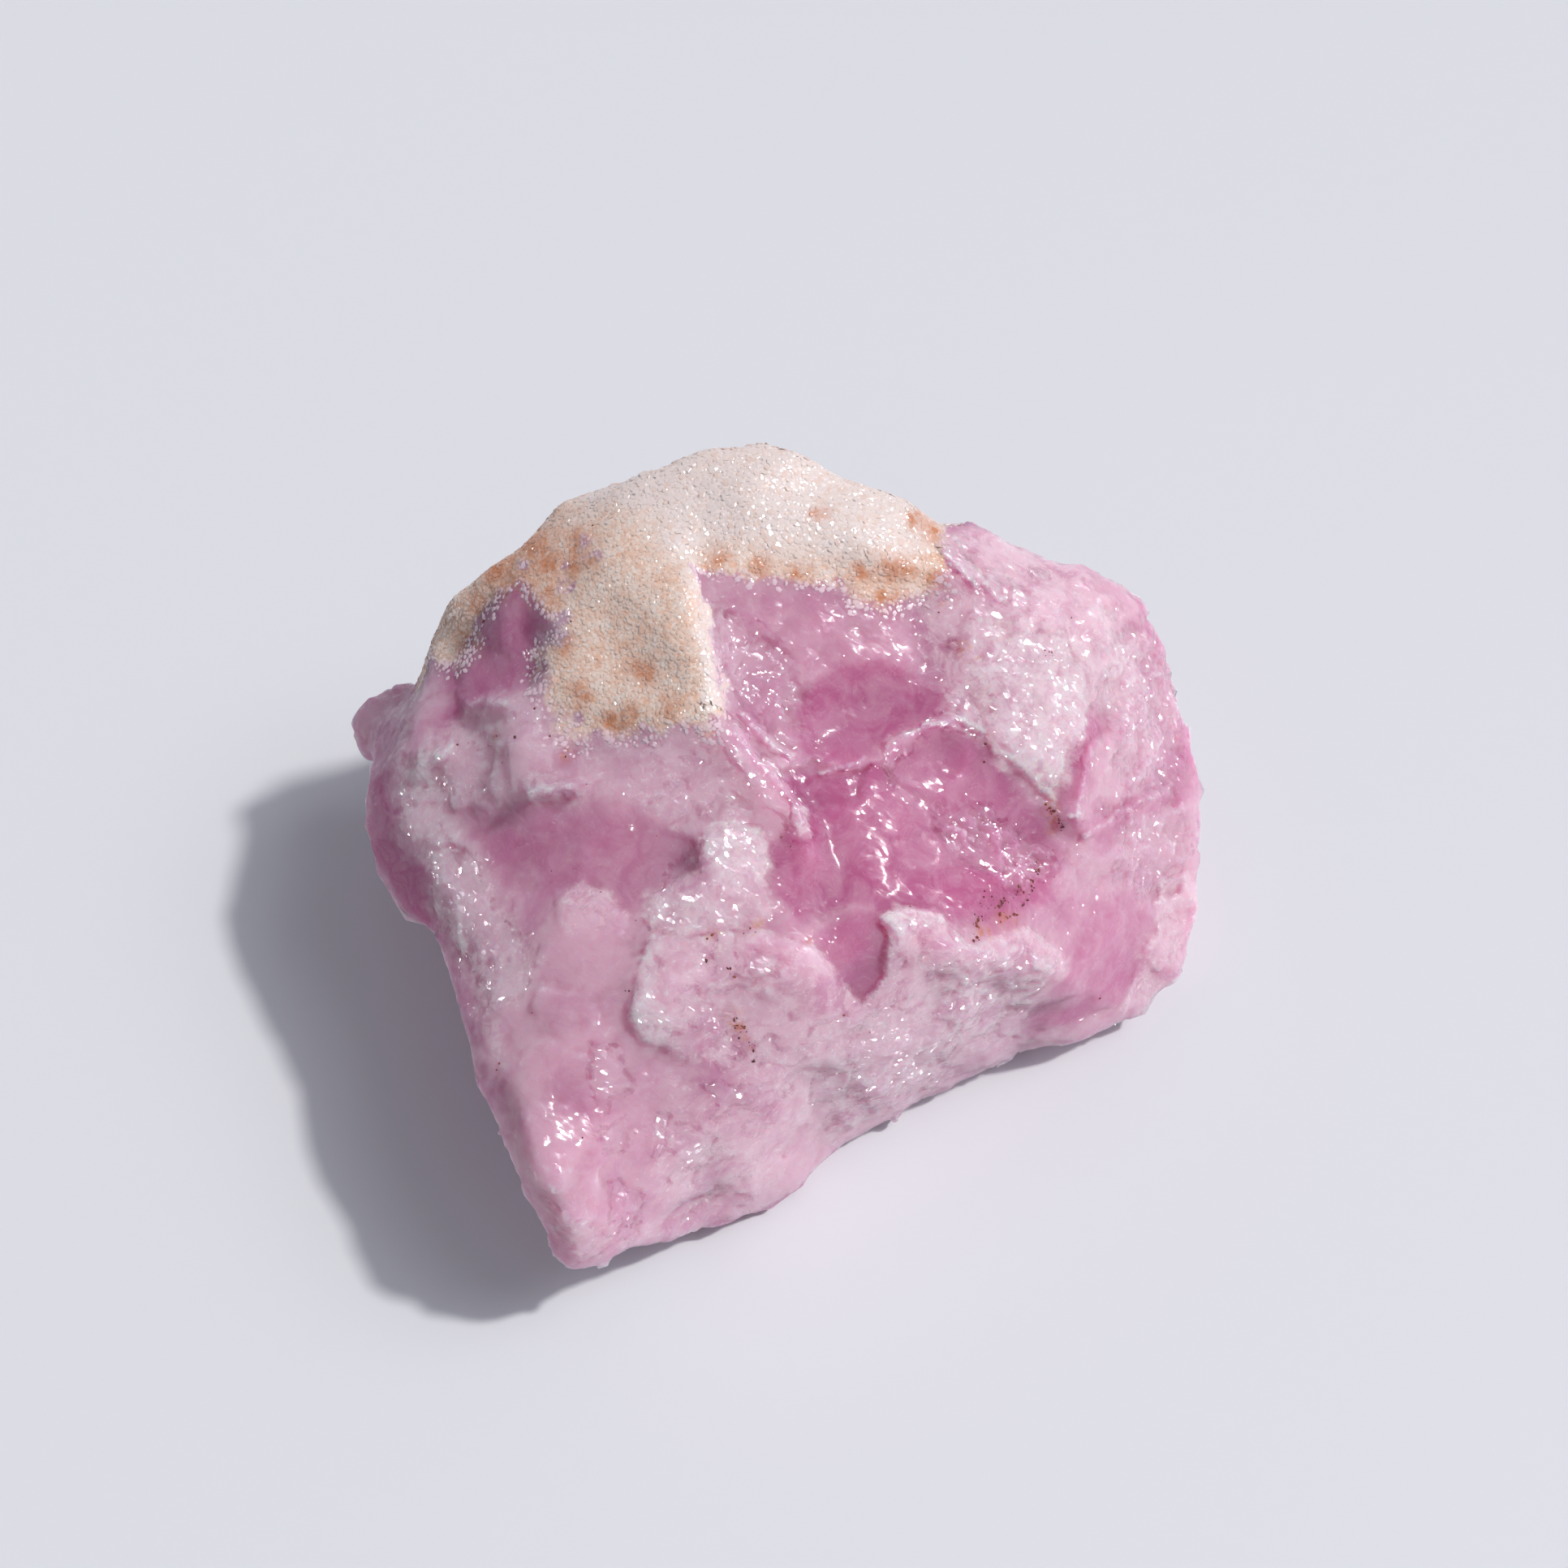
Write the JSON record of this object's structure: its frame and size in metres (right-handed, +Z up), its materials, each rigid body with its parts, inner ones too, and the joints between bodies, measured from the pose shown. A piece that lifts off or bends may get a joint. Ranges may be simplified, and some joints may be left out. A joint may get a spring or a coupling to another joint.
{
  "type": "aragonite freeform",
  "caption": "Rough freeform of translucent pink aragonite with broken hollows, a raised front slab and a sugary tan crust along its crest, resting on a flat underside.",
  "frame": {"origin": "middle of the stone's bounding box, on the table that it rests on", "axes": "+X along the length, to the right as the broad show face is looked at; +Y away from the side that the show face slopes down to; +Z up"},
  "size_m": [0.0615, 0.0523, 0.0366],
  "materials": {
    "pink_mineral": "translucent waxy pink with glossy broken faces, frosted white rims and a sugary tan crust"
  },
  "bodies": {
    "root": {"aragonite_stone": "pink_mineral"}
  },
  "joints": []
}
